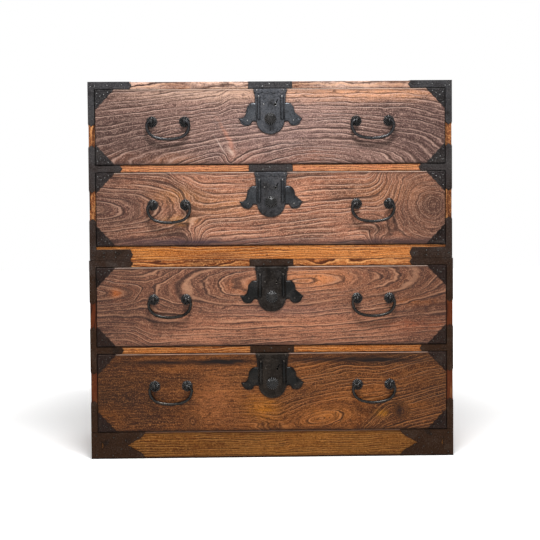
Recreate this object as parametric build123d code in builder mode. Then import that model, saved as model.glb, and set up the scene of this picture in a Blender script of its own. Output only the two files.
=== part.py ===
from build123d import *

import os
from collections import namedtuple
from math import ceil, cos, hypot, pi, sin

os.makedirs("parts", exist_ok=True)

# A two-section chest for folded clothes: an upper case standing on a lower case, two full-width
# drawers in each, on a plinth. Millimetres. +Z is up and the drawers open toward -Y. The origin is
# on the floor, in the middle of the box that the closed chest fills.

# ---- Cases ---------------------------------------------------------------------------------
lower_width = 968.0         # over the wood, lower case and plinth
case_step = 2.0             # the upper case stands back from the lower one by this much, each side
case_depth = 430.0
side_board = 16.5
top_board = 18.5            # top board of each case
drawer_rail = 18.5          # height of the rail between two drawers
foot_rail = 36.5            # height of the rail under the upper case's lower drawer
rail_depth = 46.0
tenon = 8.0                 # rail tenon into the side board
tenon_shoulder = 4.0
bottom_board = 12.0
bottom_housing = 6.0        # how far the upper bottom board is let into sides and rail
back_board = 8.0
back_lap = 7.0              # rebate that holds the back boards, in sides and top
back_planks = 4
plank_gap = 0.6
case_fingers = 7            # finger joint of side and top boards, odd
runner_width = 22.0
runner_height = 14.0

# ---- Plinth --------------------------------------------------------------------------------
plinth_height = 71.5
plinth_rail = 28.0
plinth_ledge = 10.0         # rebate that carries the lower bottom board
bearer_width = 60.0
bearer_height = 30.0

# ---- Drawers -------------------------------------------------------------------------------
drawer_1_height = 199.0     # drawer fronts, top to bottom
drawer_2_height = 194.0
drawer_3_height = 210.5
drawer_4_height = 207.5
edge_gap = 1.2              # between a drawer front and the case, all round
run_gap = 0.2               # under a drawer
front_thickness = 21.0
front_proud = 3.0           # drawer fronts stand out from the case by this much
front_bevel = 2.0
front_lap = 12.0            # rebates in the front for sides and bottom
drawer_side = 13.0
drawer_back = 13.0
drawer_bottom = 7.0
side_drop = 4.0             # sides and back stay this far below the front's top edge
drawer_fingers = 5          # finger joint of sides and back, odd
back_clearance = 1.0        # behind a closed drawer

# ---- Irons ---------------------------------------------------------------------------------
iron = 1.2                  # sheet
corner_arm = 49.0           # drawer corner irons: along the front's top or bottom edge
corner_side = 52.0
corner_lobes = 4
corner_lobe_rise = 1.7
strap_nose = 7.0            # point of a strap's free end
top_arm = 115.0             # straps: arms from the case's corner, legs from the arm's far edge
top_leg = 116.0
middle_arm = 88.0
middle_leg = 71.5
foot_arm = 113.0
foot_arm_height = 28.0
foot_leg = 109.0
seam_gap = 0.6              # between irons that meet where two cases, or case and plinth, meet
plinth_leg = 83.0           # strap that rises from the plinth
top_flange = 17.0           # top straps turn over the top board by this much
plinth_iron_length = 142.0
plinth_iron_notch = 51.0    # depth of the notch in its inner edge
notch_waist_in = 26.0       # where the notch's edge turns, from the iron's end and from its middle
notch_waist_up = 13.0
notch_bow = 4.0             # bulge of the notch's edge, outside that turn and inside it
notch_throat = 1.5
plinth_iron_lift = 0.8      # off the floor
crescent_height = 21.0
crescent_inset = 25.0
crescent_back = 6.0         # bulge of the crescent's two sides
crescent_belly = 1.8

# ---- Handles -------------------------------------------------------------------------------
handle_offset = 271.0       # handle's middle from the drawer's middle
handle_drop = 86.0          # posts below the front's top edge
post_spacing = 86.5
post_standoff = 10.6        # eye's axis in front of the drawer front
eye_radius = 5.6            # to the flats of the forged eye and of its hole
eye_bore = 3.2
eye_sides = 8
eye_thickness = 4.0
post_shank = 5.0
shank_clearance = 0.2
shank_tail = 1.5
rosette_radius = 14.5
rosette_height = 5.0
rosette_slope = (8.0, 4.0)  # its bevel, inward and down
rosette_flutes = 8
flute_depth = 0.1           # of the radius, on rosettes and buttons
bail_width = 112.0          # centre line of the bar
bail_drop = 47.0
bail_shoulder = 10.0
bail_corner = 30.0
bail_bar = 4.8              # across its flats
bail_overhang = 5.0         # past the eye, toward the middle
bail_sides = 6
bail_facet_turn = 36.0      # degrees of bend in one forged facet

# ---- Locks ---------------------------------------------------------------------------------
plate = 2.6                 # raised middle of the lock plate
plate_half_top = 41.5       # it narrows to the width of its round tongue
tongue_radius = 36.4
tongue_drop = 83.0          # tongue's centre below the front's top edge
button_drop = 80.5          # button below the front's top edge
wing = 1.4                  # thickness of the wings
wing_top = (54.5, 41.0)     # a wing's corners from the plate's top middle, outward and down
wing_shoulder = (62.0, 49.5)
wing_waist = (65.5, 71.0)
wing_tip = (80.0, 83.0)
wing_lobe = (61.5, 97.0)
wing_root = (49.5, 85.5)
collar = 1.2
collar_half_width = 43.0
collar_edge = 8.0
collar_lobes = 4
collar_lobe_rise = 5.0
rib_offset = 31.0
rib_width = 6.6
rib_crest = 2.4
rib_height = 3.4
rib_top = 18.5
rib_bottom = 81.5
keyhole_offset = 13.0
keyhole_drop = 42.0
keyhole_width = 6.2
keyhole_slot = 14.5
keyhole_slot_width = 2.4
keyhole_slot_angle = 63.0
button_radius = 16.5
button_height = 6.0
button_slope = (9.5, 4.5)   # its bevel, inward and down
button_flutes = 8
button_travel = 7.0
button_gap = 0.5            # left between button and plate when it is pushed home
stem = 8.0                  # across the square stem
stem_clearance = 0.3
ramp_start = 1.0            # stem's 45-degree ramp behind the drawer front, at rest
bolt_gap = 2.0              # bolt behind the drawer front
bolt_thickness = 5.0
bolt_width = 24.0
bolt_head = 30.0
bolt_shank = 10.0
bolt_below_top = 1.0        # bolt's end under the front's top edge, at rest
bolt_clearance = 0.5
ramp_clearance = 0.1
lock_case_width = 52.0
lock_case_wall = 1.5
lock_case_top = 5.0         # under the front's top edge
lock_case_foot = 12.0       # under the button's axis
strike_width = 116.0
strike_leg_width = 60.0
strike_leg_depth = 32.0
strike_pocket = 2.0         # room above the raised bolt

# ---- Places worked out from the sizes --------------------------------------------------------
lower_floor = plinth_height
bay_4_floor = lower_floor
bay_3_floor = bay_4_floor + drawer_4_height + 2 * edge_gap + drawer_rail
lower_top = bay_3_floor + drawer_3_height + 2 * edge_gap + top_board
bay_2_floor = lower_top + foot_rail
bay_1_floor = bay_2_floor + drawer_2_height + 2 * edge_gap + drawer_rail
upper_top = bay_1_floor + drawer_1_height + 2 * edge_gap + top_board

upper_width = lower_width - 2 * case_step
reach = front_proud + post_standoff + eye_radius
front_y = (reach - case_depth) / 2
back_y = front_y + case_depth
middle_y = front_y + case_depth / 2
face_y = front_y - front_proud
inside_y = face_y + front_thickness
drawer_end_y = back_y - back_board - back_clearance
upper_inner = upper_width / 2 - side_board
lower_inner = lower_width / 2 - side_board
case_finger = case_depth / case_fingers

Bay = namedtuple("Bay", "name floor height inner")
bay_1 = Bay("drawer_1", bay_1_floor, drawer_1_height, upper_inner)
bay_2 = Bay("drawer_2", bay_2_floor, drawer_2_height, upper_inner)
bay_3 = Bay("drawer_3", bay_3_floor, drawer_3_height, lower_inner)
bay_4 = Bay("drawer_4", bay_4_floor, drawer_4_height, lower_inner)
bays = (bay_1, bay_2, bay_3, bay_4)


def front_top(bay):
    return bay.floor + edge_gap + bay.height


def ceiling(bay):
    return front_top(bay) + edge_gap


def half_width(bay):
    """Half the width of a drawer."""
    return bay.inner - edge_gap


def upright_plane(y, z):
    """A plane facing the front, with its origin in the chest's middle at height z."""
    return Plane(origin=(0, y, z), x_dir=(1, 0, 0), z_dir=(0, -1, 0))


def block(x, y, z, mode=Mode.ADD):
    """A box in the current part, from its extents along each axis."""
    with Locations(((x[0] + x[1]) / 2, (y[0] + y[1]) / 2, (z[0] + z[1]) / 2)):
        Box(x[1] - x[0], y[1] - y[0], z[1] - z[0], mode=mode)


def save(piece, name):
    piece.label = name
    export_step(piece, f"parts/{name}.step")


# ---- Cases -----------------------------------------------------------------------------------


def back_pocket(inner, seat, top, mode=Mode.SUBTRACT):
    """The space of a case's back boards, rebated into its sides and its top board."""
    reach_x = inner + back_lap
    block((-reach_x, reach_x), (back_y - back_board, back_y), (seat, top - top_board + back_lap), mode)


def upper_bottom_space(mode):
    """The upper case's bottom board, let into the sides and the foot rail."""
    reach_x = upper_inner + bottom_housing
    rail_back = front_y + rail_depth
    block(
        (-reach_x, reach_x),
        (rail_back - bottom_housing, back_y - back_board),
        (bay_2_floor - bottom_board, bay_2_floor),
        mode,
    )


def rail_tenons(inner, low, high, mode):
    """Both tenons of a rail, which reach from its ends into the side boards."""
    for side in (-1, 1):
        ends = sorted((side * (inner - tenon), side * (inner + tenon)))
        depth = (front_y + tenon_shoulder * 2, front_y + rail_depth - bottom_housing - tenon_shoulder)
        block(ends, depth, (low + tenon_shoulder, high - tenon_shoulder), mode)


def cut_strike(bay):
    """Recess for the strike plate's leg under the board above a drawer, and the bolt's pocket."""
    low = ceiling(bay)
    leg = strike_leg_width / 2
    block((-leg, leg), (front_y, front_y + strike_leg_depth), (low, low + iron), Mode.SUBTRACT)
    pocket_top = front_top(bay) - bolt_below_top + button_travel + strike_pocket
    bolt_pocket((low, pocket_top))


def bolt_pocket(heights):
    """A slot for the bolt over the given heights."""
    half = bolt_width / 2 + bolt_clearance
    near = inside_y + bolt_gap
    depth = (near - bolt_clearance, near + bolt_thickness + bolt_clearance)
    block((-half, half), depth, heights, Mode.SUBTRACT)


def case_sides(inner, seat, top):
    """Left and right side board, finger-jointed to the top board."""
    with BuildPart() as sides:
        with BuildSketch(Plane.YZ.offset(inner)):
            with Locations((middle_y, (seat + top) / 2)):
                Rectangle(case_depth, top - seat)
            with Locations((middle_y, top - top_board / 2)):
                with GridLocations(2 * case_finger, 1, case_fingers // 2 + 1, 1):
                    Rectangle(case_finger, top_board, mode=Mode.SUBTRACT)
        extrude(amount=side_board)
        mirror(about=Plane.YZ)
        back_pocket(inner, seat, top)
    return sides


def case_top(width, top, bay):
    """Top board, with the fingers that the side boards leave room for."""
    with BuildPart() as board:
        with BuildSketch(Plane.XY.offset(top - top_board)):
            with Locations((0, middle_y)):
                Rectangle(width, case_depth)
                with GridLocations(width - side_board, 2 * case_finger, 2, case_fingers // 2):
                    Rectangle(side_board, case_finger, mode=Mode.SUBTRACT)
        extrude(amount=top_board)
        back_pocket(width / 2 - side_board, top - 2 * top_board, top)
        cut_strike(bay)
    return board


upper_case_top = case_top(upper_width, upper_top, bay_1)
save(upper_case_top.part, "upper_case_top")

lower_case_top = case_top(lower_width, lower_top, bay_3)
save(lower_case_top.part, "lower_case_top")

with BuildPart() as upper_case_sides:
    add(case_sides(upper_inner, lower_top, upper_top).part)
    rail_tenons(upper_inner, bay_1_floor - drawer_rail, bay_1_floor, Mode.SUBTRACT)
    rail_tenons(upper_inner, lower_top, bay_2_floor, Mode.SUBTRACT)
    upper_bottom_space(Mode.SUBTRACT)
save(upper_case_sides.part, "upper_case_sides")

with BuildPart() as lower_case_sides:
    add(case_sides(lower_inner, lower_floor, lower_top).part)
    rail_tenons(lower_inner, bay_3_floor - drawer_rail, bay_3_floor, Mode.SUBTRACT)
save(lower_case_sides.part, "lower_case_sides")

with BuildPart() as upper_case_bottom:
    upper_bottom_space(Mode.ADD)
save(upper_case_bottom.part, "upper_case_bottom")

rails = (
    (upper_inner, bay_1_floor - drawer_rail, bay_1_floor),
    (upper_inner, lower_top, bay_2_floor),
    (lower_inner, bay_3_floor - drawer_rail, bay_3_floor),
)
with BuildPart() as front_rails:
    for inner, low, high in rails:
        rail_tenons(inner, low, high, Mode.ADD)
        block((-inner, inner), (front_y, front_y + rail_depth), (low, high))
    upper_bottom_space(Mode.SUBTRACT)
    cut_strike(bay_2)
    cut_strike(bay_4)
save(front_rails.part, "front_rails")

with BuildPart() as drawer_runners:
    for bay in (bay_1, bay_3):
        block(
            (bay.inner - runner_width, bay.inner),
            (front_y + rail_depth, back_y - back_board),
            (bay.floor - runner_height, bay.floor),
        )
    mirror(about=Plane.YZ)
save(drawer_runners.part, "drawer_runners")

with BuildPart() as back_boards:
    back_pocket(upper_inner, lower_top, upper_top, Mode.ADD)
    back_pocket(lower_inner, lower_floor, lower_top, Mode.ADD)
    for seat, top in ((lower_top, upper_top), (lower_floor, lower_top)):
        plank = (top - top_board + back_lap - seat) / back_planks
        for seam in range(1, back_planks):
            height = seat + seam * plank
            block(
                (-lower_width / 2, lower_width / 2),
                (back_y - back_board, back_y),
                (height - plank_gap / 2, height + plank_gap / 2),
                Mode.SUBTRACT,
            )
save(back_boards.part, "back_boards")


# ---- Plinth ----------------------------------------------------------------------------------


def lower_bottom_space(mode):
    """The lower case's bottom board, lying in the plinth's rebate with its top flush."""
    half = lower_width / 2 - plinth_rail + plinth_ledge
    depth = (front_y + plinth_rail - plinth_ledge, back_y - plinth_rail + plinth_ledge)
    block((-half, half), depth, (plinth_height - bottom_board, plinth_height), mode)


def plinth_tenon_space(mode):
    """Tenons of the plinth's side rails, right through the front and back rails."""
    middle = lower_width / 2 - plinth_rail / 2
    third = plinth_rail / 6
    for side in (-1, 1):
        x = (side * middle - third, side * middle + third)
        block(x, (front_y, back_y), (plinth_height / 4, plinth_height / 2), mode)


with BuildPart() as lower_case_bottom:
    lower_bottom_space(Mode.ADD)
save(lower_case_bottom.part, "lower_case_bottom")

with BuildPart() as plinth_long_rails:
    for low in (front_y, back_y - plinth_rail):
        block((-lower_width / 2, lower_width / 2), (low, low + plinth_rail), (0, plinth_height))
    plinth_tenon_space(Mode.SUBTRACT)
    lower_bottom_space(Mode.SUBTRACT)

with BuildPart() as plinth_side_rails:
    block(
        (lower_width / 2 - plinth_rail, lower_width / 2),
        (front_y + plinth_rail, back_y - plinth_rail),
        (0, plinth_height),
    )
    mirror(about=Plane.YZ)
    plinth_tenon_space(Mode.ADD)
    lower_bottom_space(Mode.SUBTRACT)

with BuildPart() as plinth_bearer:
    bearer_top = plinth_height - bottom_board
    block(
        (-bearer_width / 2, bearer_width / 2),
        (front_y + plinth_rail, back_y - plinth_rail),
        (bearer_top - bearer_height, bearer_top),
    )

plinth = Compound(
    children=[
        *plinth_long_rails.part.solids(),
        *plinth_side_rails.part.solids(),
        *plinth_bearer.part.solids(),
    ]
)
save(plinth, "plinth")


# ---- Case irons --------------------------------------------------------------------------------


def strip(length, width):
    """A strip of iron from the origin along X, its far end pointed."""
    shoulder = length - strap_nose
    with BuildSketch() as outline:
        Polygon((0, 0), (shoulder, 0), (length, width / 2), (shoulder, width), (0, width), align=None)
    return outline.sketch


def strap_face(arm, low, height, rise, fall):
    """One face of a strap: an arm over the given height, with a leg up and a leg down the corner."""
    leg = side_board + iron
    with BuildSketch() as outline:
        if arm:
            with Locations((-iron, low)):
                add(strip(arm + iron, height))
        if rise:
            with Locations((side_board, low)):
                add(strip(rise, leg), rotation=90)
        if fall:
            with Locations((-iron, low + height)):
                add(strip(fall, leg), rotation=-90)
    return outline.sketch


def plinth_iron_face():
    """The plinth's corner iron on one face: a notched inner edge, and a crescent cut out."""
    half = (plinth_height - plinth_iron_lift) / 2
    lip = (plinth_iron_length, half)
    waist = (plinth_iron_length - notch_waist_in, notch_waist_up)
    apex = (plinth_iron_length - plinth_iron_notch, 0)
    crescent = ((crescent_inset, crescent_height / 2), (crescent_inset, -crescent_height / 2))
    with BuildSketch() as outline:
        with BuildLine():
            Polyline(apex, (-iron, 0), (-iron, half), lip)
            SagittaArc(lip, waist, notch_bow)
            SagittaArc(waist, apex, notch_throat)
        make_face()
        mirror(about=Plane.XZ)
        with BuildLine():
            SagittaArc(*crescent, crescent_back)
            SagittaArc(*crescent, crescent_belly)
        make_face(mode=Mode.SUBTRACT)
    with BuildSketch() as placed:
        with Locations((0, plinth_iron_lift + half)):
            add(outline.sketch)
    return placed.sketch


def wrap_corner(half, outline):
    """The same outline on the front and on the left side of a case, as one bent iron."""
    corner = (-half, front_y, 0)
    with BuildSketch(Plane(origin=corner, x_dir=(1, 0, 0), z_dir=(0, -1, 0))) as on_front:
        add(outline)
    extrude(on_front.sketch, amount=iron)
    with BuildSketch(Plane(origin=corner, x_dir=(0, 1, 0), z_dir=(1, 0, 0))) as on_side:
        add(outline)
    extrude(on_side.sketch, amount=-iron)


def turn_over_top(half):
    """Flange of the top strap, lying on the top board."""
    with BuildSketch(Plane(origin=(-half, front_y, upper_top))) as flange:
        with Locations((-iron, -iron)):
            add(strip(top_arm + iron, top_flange + iron))
        with Locations((top_flange, -iron)):
            add(strip(top_arm + iron, top_flange + iron), rotation=90)
    extrude(flange.sketch, amount=iron)


with BuildPart() as case_irons:
    wrap_corner(upper_width / 2, strap_face(top_arm, upper_top - top_board, top_board, 0, top_leg))
    turn_over_top(upper_width / 2)
    for bay, half in ((bay_1, upper_width / 2), (bay_3, lower_width / 2)):
        low = bay.floor - drawer_rail
        wrap_corner(half, strap_face(middle_arm, low, drawer_rail, middle_leg, middle_leg))
    foot_low = lower_top + seam_gap
    wrap_corner(upper_width / 2, strap_face(foot_arm, foot_low, foot_arm_height, foot_leg, 0))
    wrap_corner(lower_width / 2, strap_face(top_arm, lower_top - top_board, top_board, 0, top_leg))
    wrap_corner(lower_width / 2, strap_face(0, plinth_height + seam_gap, 0, plinth_leg, 0))
    wrap_corner(lower_width / 2, plinth_iron_face())
    mirror(about=Plane.YZ)
save(case_irons.part, "case_irons")

with BuildPart() as strike_plates:
    for bay, board in ((bay_1, top_board), (bay_2, drawer_rail), (bay_3, top_board), (bay_4, drawer_rail)):
        low = ceiling(bay)
        leg = strike_leg_width / 2
        block((-strike_width / 2, strike_width / 2), (front_y - iron, front_y), (low, low + board))
        block((-leg, leg), (front_y, front_y + strike_leg_depth), (low, low + iron))
        bolt_pocket((low, low + iron))
save(strike_plates.part, "strike_plates")


# ---- Drawer boards -----------------------------------------------------------------------------


def drawer_sides(bay):
    """Left and right side, with the fingers of the joint at the back."""
    low = bay.floor + run_gap + drawer_bottom
    high = front_top(bay) - side_drop
    finger = (high - low) / drawer_fingers
    start = inside_y - front_lap
    with BuildPart() as sides:
        with BuildSketch(Plane.YZ.offset(half_width(bay) - drawer_side)):
            with Locations(((start + drawer_end_y) / 2, (low + high) / 2)):
                Rectangle(drawer_end_y - start, high - low)
            with Locations((drawer_end_y - drawer_back / 2, (low + high) / 2)):
                with GridLocations(1, 2 * finger, 1, drawer_fingers // 2):
                    Rectangle(drawer_back, finger, mode=Mode.SUBTRACT)
        extrude(amount=drawer_side)
        mirror(about=Plane.YZ)
    return sides.part


def drawer_back_board(bay):
    low = bay.floor + run_gap + drawer_bottom
    high = front_top(bay) - side_drop
    finger = (high - low) / drawer_fingers
    width = 2 * half_width(bay)
    with BuildPart() as back:
        with BuildSketch(upright_plane(drawer_end_y, (low + high) / 2)):
            Rectangle(width, high - low)
            with GridLocations(width - drawer_side, 2 * finger, 2, drawer_fingers // 2 + 1):
                Rectangle(drawer_side, finger, mode=Mode.SUBTRACT)
        extrude(amount=drawer_back)
    return back.part


def drawer_bottom_board(bay):
    half = half_width(bay)
    low = bay.floor + run_gap
    with BuildPart() as bottom:
        block((-half, half), (inside_y - front_lap, drawer_end_y), (low, low + drawer_bottom))
    return bottom.part


def front_block(bay, lift=0.0):
    """The drawer front's bevelled block, or the same block standing forward by lift."""
    middle_z = front_top(bay) - bay.height / 2
    with BuildPart() as front:
        with Locations((0, face_y - lift + front_thickness / 2, middle_z)):
            Box(2 * half_width(bay), front_thickness, bay.height)
        chamfer(front.faces().sort_by(Axis.Y)[0].edges(), front_bevel)
    return front.part


def post_places(bay):
    """Centres of a drawer's four posts, across the front and up."""
    height = front_top(bay) - handle_drop
    offsets = [side * handle_offset + end * post_spacing / 2 for side in (-1, 1) for end in (-1, 1)]
    return [(offset, height) for offset in offsets]


def drawer_front(bay, sides, bottom):
    """The front, rebated for the sides and the bottom, bored for posts, stem and key."""
    hole = post_shank + 2 * shank_clearance
    with BuildPart() as front:
        add(front_block(bay))
        add(sides, mode=Mode.SUBTRACT)
        add(bottom, mode=Mode.SUBTRACT)
        with BuildSketch(upright_plane(inside_y, 0)):
            with Locations(*post_places(bay)):
                Rectangle(hole, hole)
            with Locations((0, front_top(bay) - button_drop)):
                Rectangle(stem + 2 * stem_clearance, stem + 2 * stem_clearance)
            with Locations((keyhole_offset, front_top(bay) - keyhole_drop)):
                Rectangle(keyhole_width, keyhole_width)
        extrude(amount=front_thickness, mode=Mode.SUBTRACT)
    return front.part


# ---- Sheet iron on the drawer fronts -------------------------------------------------------------


def sheet_on_front(bay, outline, lift, thickness):
    """A sheet cut to outline, lying on the drawer front and bent over its bevel.
    The outline is drawn from the middle of the front's top edge."""
    with BuildPart() as sheet:
        add(front_block(bay, lift + thickness))
        with BuildSketch(upright_plane(inside_y, front_top(bay))):
            add(outline)
        extrude(amount=2 * front_thickness, mode=Mode.INTERSECT)
        add(front_block(bay, lift), mode=Mode.SUBTRACT)
    return sheet.part


def scallops(start, end, count, rise):
    """A row of equal arcs from start to end."""
    step = ((end[0] - start[0]) / count, (end[1] - start[1]) / count)
    for lobe in range(count):
        first = (start[0] + lobe * step[0], start[1] + lobe * step[1])
        SagittaArc(first, (first[0] + step[0], first[1] + step[1]), rise)


def corner_iron_outline(bay):
    """All four corner irons: triangles with a scalloped long edge."""
    half = half_width(bay)
    arm_end = (half - corner_arm, bay.height / 2)
    side_end = (half, bay.height / 2 - corner_side)
    with BuildSketch() as corners:
        with BuildLine():
            Polyline(arm_end, (half, bay.height / 2), side_end)
            scallops(side_end, arm_end, corner_lobes, corner_lobe_rise)
        make_face()
        mirror(about=Plane.YZ)
        mirror(about=Plane.XZ)
    with BuildSketch() as outline:
        with Locations((0, -bay.height / 2)):
            add(corners.sketch)
    return outline.sketch


def cut_lock_holes():
    """Square hole for the button's stem, and the keyhole with its slanting slot."""
    with Locations((0, -button_drop)):
        Rectangle(stem + 2 * stem_clearance, stem + 2 * stem_clearance, mode=Mode.SUBTRACT)
    with Locations((keyhole_offset, -keyhole_drop)):
        RegularPolygon(keyhole_width / 2, 8, major_radius=False, mode=Mode.SUBTRACT)
        with Locations(Location((0, 0), keyhole_slot_angle)):
            with Locations((keyhole_slot / 2, 0)):
                Rectangle(keyhole_slot, keyhole_slot_width, mode=Mode.SUBTRACT)


def plate_outline():
    """The plate's raised middle, straight-sided, ending in a round tongue about the button."""
    with BuildSketch() as outline:
        Polygon(
            (-plate_half_top, 0),
            (-tongue_radius, -tongue_drop),
            (tongue_radius, -tongue_drop),
            (plate_half_top, 0),
            align=None,
        )
        with Locations((0, -tongue_drop)):
            Circle(tongue_radius)
        cut_lock_holes()
    return outline.sketch


def wings_outline():
    """Both wings in one piece, passing under the plate's middle."""
    corners = (wing_top, wing_shoulder, wing_waist, wing_tip, wing_lobe, wing_root)
    top, shoulder, waist, tip, lobe, root = ((across, -down) for across, down in corners)
    with BuildSketch() as outline:
        with BuildLine():
            Polyline(root, (0, root[1]), (0, top[1]), top, shoulder, waist, tip)
            ThreePointArc(tip, lobe, root)
        make_face()
        mirror(about=Plane.YZ)
        cut_lock_holes()
    return outline.sketch


def collar_outline():
    """Band across the plate's top, its lower edge scalloped."""
    left = (-collar_half_width, -collar_edge)
    right = (collar_half_width, -collar_edge)
    with BuildSketch() as outline:
        with BuildLine():
            Polyline(right, (collar_half_width, 0), (-collar_half_width, 0), left)
            scallops(left, right, collar_lobes, -collar_lobe_rise)
        make_face()
    return outline.sketch


def lock_plate(bay):
    """Wings, raised plate, scalloped collar and two bevelled ribs, riveted up as one."""
    with BuildPart() as whole:
        add(sheet_on_front(bay, wings_outline(), 0, wing))
        add(sheet_on_front(bay, plate_outline(), 0, plate))
        add(sheet_on_front(bay, collar_outline(), 0, plate + collar))
        with BuildSketch(Plane.XY.offset(front_top(bay) - rib_bottom)):
            for middle in (-rib_offset, rib_offset):
                Polygon(
                    (middle - rib_width / 2, face_y - plate),
                    (middle - rib_crest / 2, face_y - plate - rib_height),
                    (middle + rib_crest / 2, face_y - plate - rib_height),
                    (middle + rib_width / 2, face_y - plate),
                    align=None,
                )
        extrude(amount=rib_bottom - rib_top)
    return whole.part


# ---- Lock button, bolt and case ------------------------------------------------------------------


def fluted_boss(plane, radius, flutes, height, slope):
    """A round boss in the current part, on a plane that faces the front, with pointed flutes about
    it and a broad bevel."""
    radii = [radius * (1 - flute_depth * (step % 2)) for step in range(2 * flutes)]
    turns = [pi * step / flutes for step in range(2 * flutes)]
    with BuildSketch(plane) as outline:
        with BuildLine():
            Polyline([(r * cos(turn), r * sin(turn)) for r, turn in zip(radii, turns)], close=True)
        make_face()
    boss = extrude(outline.sketch, amount=height)
    front = boss.faces().sort_by(Axis.Y)[0]
    chamfer(front.edges(), *slope, reference=front)


def lock_button(bay):
    """Fluted button on a square stem, whose end is a 45-degree ramp that lifts the bolt."""
    height = front_top(bay) - button_drop
    head_back = face_y - plate - button_gap - button_travel
    half = stem / 2
    with BuildPart() as button:
        fluted_boss(upright_plane(head_back, height), button_radius, button_flutes, button_height, button_slope)
        with BuildSketch(Plane.YZ.offset(-half)):
            ramp = inside_y + ramp_start
            Polygon(
                (head_back, height - half),
                (ramp + stem, height - half),
                (ramp, height + half),
                (head_back, height + half),
                align=None,
            )
        extrude(amount=stem)
    return button.part


def lock_bolt(bay):
    """Bolt with a broad head, and a foot cut at 45 degrees to sit on the stem's ramp."""
    axis = front_top(bay) - button_drop
    top = front_top(bay) - bolt_below_top
    near = inside_y + bolt_gap
    foot_near = axis + stem / 2 + ramp_start - bolt_gap + ramp_clearance
    foot_far = foot_near - bolt_thickness
    with BuildPart() as bolt:
        with BuildSketch(Plane.YZ):
            Polygon(
                (near, foot_near),
                (near + bolt_thickness, foot_far),
                (near + bolt_thickness, top),
                (near, top),
                align=None,
            )
        extrude(amount=bolt_shank / 2, both=True)
        with BuildSketch(upright_plane(near + bolt_thickness, top - bolt_head / 2)):
            Rectangle(bolt_width, bolt_head)
        extrude(amount=bolt_thickness)
    return bolt.part


def lock_case(bay):
    """Folded iron box nailed behind the drawer front, open toward it, slotted for the bolt."""
    top = front_top(bay) - lock_case_top
    low = front_top(bay) - button_drop - stem / 2 - lock_case_foot
    depth = ramp_start + stem + button_travel + lock_case_wall + 1
    half = lock_case_width / 2
    wall = lock_case_wall
    with BuildPart() as case:
        block((-half, half), (inside_y, inside_y + depth), (low, top))
        inner = (-half + wall, half - wall)
        block(inner, (inside_y, inside_y + depth - wall), (low + wall, top - wall), Mode.SUBTRACT)
        bolt_pocket((top - wall, top))
    return case.part


# ---- Handles -------------------------------------------------------------------------------------


def handle_posts(bay):
    """Four posts: an eye for the bail, a fluted rosette on the front, a shank through it."""
    half = post_shank / 2
    with BuildPart() as posts:
        for x, z in post_places(bay):
            base = Plane(origin=(x, face_y, z), x_dir=(1, 0, 0), z_dir=(0, -1, 0))
            fluted_boss(base, rosette_radius, rosette_flutes, rosette_height, rosette_slope)
            with BuildSketch(Plane.YZ.offset(x - eye_thickness / 2)):
                with Locations((face_y - post_standoff / 2, z)):
                    Rectangle(post_standoff, post_shank)
                with Locations(Location((face_y - post_standoff, z), 180 / eye_sides)):
                    RegularPolygon(eye_radius, eye_sides, major_radius=False)
                    RegularPolygon(eye_bore, eye_sides, major_radius=False, mode=Mode.SUBTRACT)
            extrude(amount=eye_thickness)
            block((x - half, x + half), (face_y, inside_y + shank_tail), (z - half, z + half))
    return posts.part


def bail_line():
    """Half a bail's centre line, from its end to its middle, hanging from the posts at height 0."""
    half = bail_width / 2
    side_drop_z = -bail_shoulder
    rise = bail_drop - bail_shoulder
    bottom_radius = (half**2 + rise**2 - 2 * half * bail_corner) / (2 * (rise - bail_corner))
    corner_centre = (half - bail_corner, side_drop_z)
    bottom_centre = (0, bottom_radius - bail_drop)
    along = (corner_centre[0], corner_centre[1] - bottom_centre[1])
    share = bottom_radius / hypot(*along)
    blend = (along[0] * share, bottom_centre[1] + along[1] * share)
    start = (post_spacing / 2 - eye_thickness / 2 - bail_overhang, 0)
    with BuildLine() as line:
        straight = Line(start, (half - bail_shoulder, 0))
        shoulder = TangentArc(straight @ 1, (half, side_drop_z), tangent=(1, 0))
        corner = TangentArc(shoulder @ 1, blend, tangent=(0, -1))
        TangentArc(corner @ 1, (0, -bail_drop), tangent=corner % 1)
    return line.edges()


def bail_points():
    """Points along half a bail's centre line, from its end to its middle, one for each forged facet."""
    points = []
    for edge in bail_line():
        turn = (edge % 0).get_angle(edge % 1)
        facets = max(1, ceil(turn / bail_facet_turn))
        points += [edge @ (facet / facets) for facet in range(facets)]
    return points + [edge @ 1]


def bail(bay, side):
    """A bar forged in flat facets that hangs from both eyes."""
    half = bail_points()
    run = [Vector(-p.X, 0, p.Y) for p in half] + [Vector(p.X, 0, p.Y) for p in reversed(half[:-1])]
    middle = Vector(side * handle_offset, face_y - post_standoff, front_top(bay) - handle_drop)
    with BuildPart() as bar:
        with BuildLine():
            path = Polyline([middle + point for point in run])
        with BuildSketch(Plane(origin=path @ 0, x_dir=(0, 1, 0), z_dir=path % 0)):
            RegularPolygon(bail_bar / 2, bail_sides, major_radius=False, rotation=180 / bail_sides)
        sweep(transition=Transition.RIGHT)
    return bar.part


# ---- The four drawers ------------------------------------------------------------------------------

for bay in bays:
    sides = drawer_sides(bay)
    bottom = drawer_bottom_board(bay)
    save(drawer_front(bay, sides, bottom), f"{bay.name}_front")
    save(sides, f"{bay.name}_sides")
    save(drawer_back_board(bay), f"{bay.name}_back")
    save(bottom, f"{bay.name}_bottom")
    save(sheet_on_front(bay, corner_iron_outline(bay), 0, iron), f"{bay.name}_corner_irons")
    save(lock_plate(bay), f"{bay.name}_lock_plate")
    save(lock_button(bay), f"{bay.name}_lock_button")
    save(lock_bolt(bay), f"{bay.name}_lock_bolt")
    save(lock_case(bay), f"{bay.name}_lock_case")
    save(handle_posts(bay), f"{bay.name}_handle_posts")
    save(bail(bay, -1), f"{bay.name}_left_bail")
    save(bail(bay, 1), f"{bay.name}_right_bail")
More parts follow.
